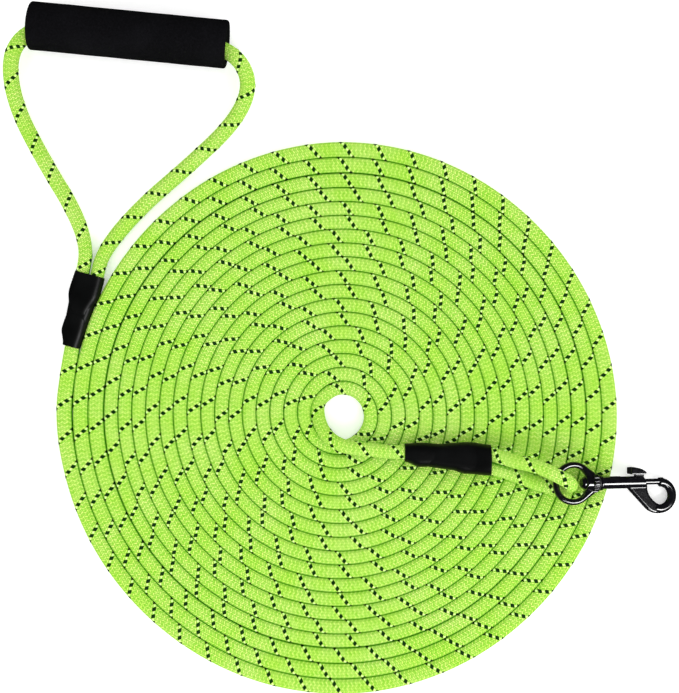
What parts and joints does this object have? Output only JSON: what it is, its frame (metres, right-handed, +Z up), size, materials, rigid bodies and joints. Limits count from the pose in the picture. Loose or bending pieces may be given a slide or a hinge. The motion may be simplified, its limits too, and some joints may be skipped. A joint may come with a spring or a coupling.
{
  "type": "training leash",
  "caption": "Long round-rope training leash laid in a flat coil, with a foam grip on the handle loop and a swivel bolt snap.",
  "frame": {"origin": "middle of the coil's eye, on the surface the leash lies on", "axes": "+Z up, +X towards the snap, +Y towards the handle loop"},
  "size_m": [0.3804, 0.3897, 0.0301],
  "materials": {
    "rope": "braided, matte",
    "foam": "matte closed-cell foam",
    "sleeve": "satin",
    "band": "rolled strip",
    "black_metal": "gloss black coating on zinc casting",
    "washer": "plain",
    "spring": "drawn wire"
  },
  "bodies": {
    "rope": {"rope_coil": "rope", "handle_rope": "rope", "hook_rope": "rope", "handle_sleeve": "sleeve", "hook_sleeve": "sleeve", "handle_crimp_band": "band", "hook_crimp_band": "band"},
    "grip": {"foam_grip": "foam"},
    "ring": {"swivel_eye": "black_metal"},
    "snap": {"snap_body": "black_metal", "swivel_rivet": "black_metal", "swivel_washer": "washer", "bolt_spring": "spring"},
    "bolt": {"bolt": "black_metal", "thumb_knob": "black_metal"}
  },
  "joints": [
    {"name": "grip_spin", "type": "hinge", "parent": "rope", "child": "grip", "pos_m": [-0.12125, 0.2146, 0.0136], "axis": [0.9953, -0.0969, 0], "continuous": true},
    {"name": "eye_tilt", "type": "hinge", "parent": "rope", "child": "ring", "pos_m": [0.11884, -0.03074, 0.01951], "axis": [-0.5287, -0.8385, 0.1318], "range_deg": [0, 100]},
    {"name": "snap_swivel", "type": "hinge", "parent": "ring", "child": "snap", "pos_m": [0.1273, -0.0364, 0.0174], "axis": [0.9703, 0, -0.2419], "continuous": true},
    {"name": "bolt_slide", "type": "slide", "parent": "snap", "child": "bolt", "axis": [-0.9703, 0, 0.2419], "range_m": [0, 0.0085], "stiffness_N_per_m": 300, "springref_m": -0.005, "deforming": ["bolt_spring"]}
  ]
}
